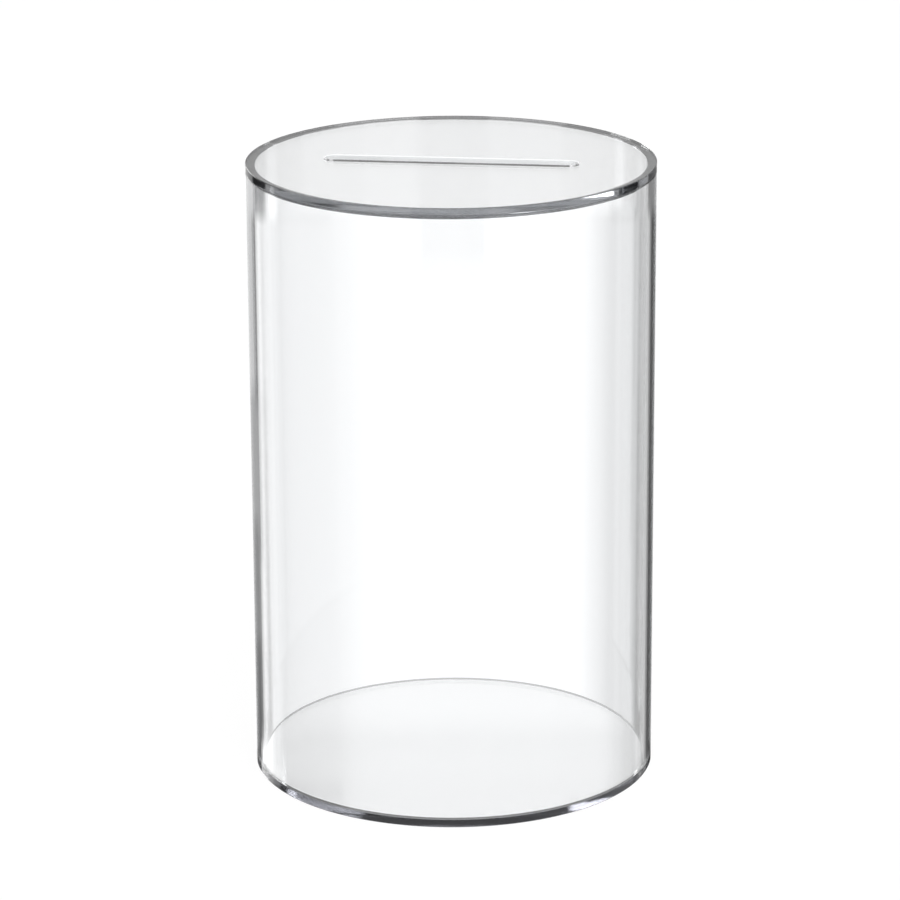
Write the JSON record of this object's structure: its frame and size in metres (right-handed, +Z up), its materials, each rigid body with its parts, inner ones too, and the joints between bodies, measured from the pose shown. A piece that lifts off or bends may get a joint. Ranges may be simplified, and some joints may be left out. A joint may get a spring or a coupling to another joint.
{
  "type": "acrylic money box",
  "caption": "Round money box of clear acrylic: a tube standing on a cemented base disc, with a slotted disc lid that drops into the bore by a rebate and lifts off.",
  "frame": {"origin": "centre of the underside of the base, on the surface that the box stands on", "axes": "+Z up along the tube axis, +X along the slot in the lid"},
  "size_m": [0.1, 0.1, 0.154],
  "materials": {
    "clear_tube": "clear extruded acrylic, polished",
    "clear_sheet": "clear acrylic sheet with polished edges"
  },
  "bodies": {
    "box": {"tube": "clear_tube", "base_disc": "clear_sheet"},
    "lid": {"lid_disc": "clear_sheet"}
  },
  "joints": [
    {"name": "lid_lift", "type": "slide", "parent": "box", "child": "lid", "axis": [0, 0, 1], "range_m": [0, 0.025]}
  ]
}
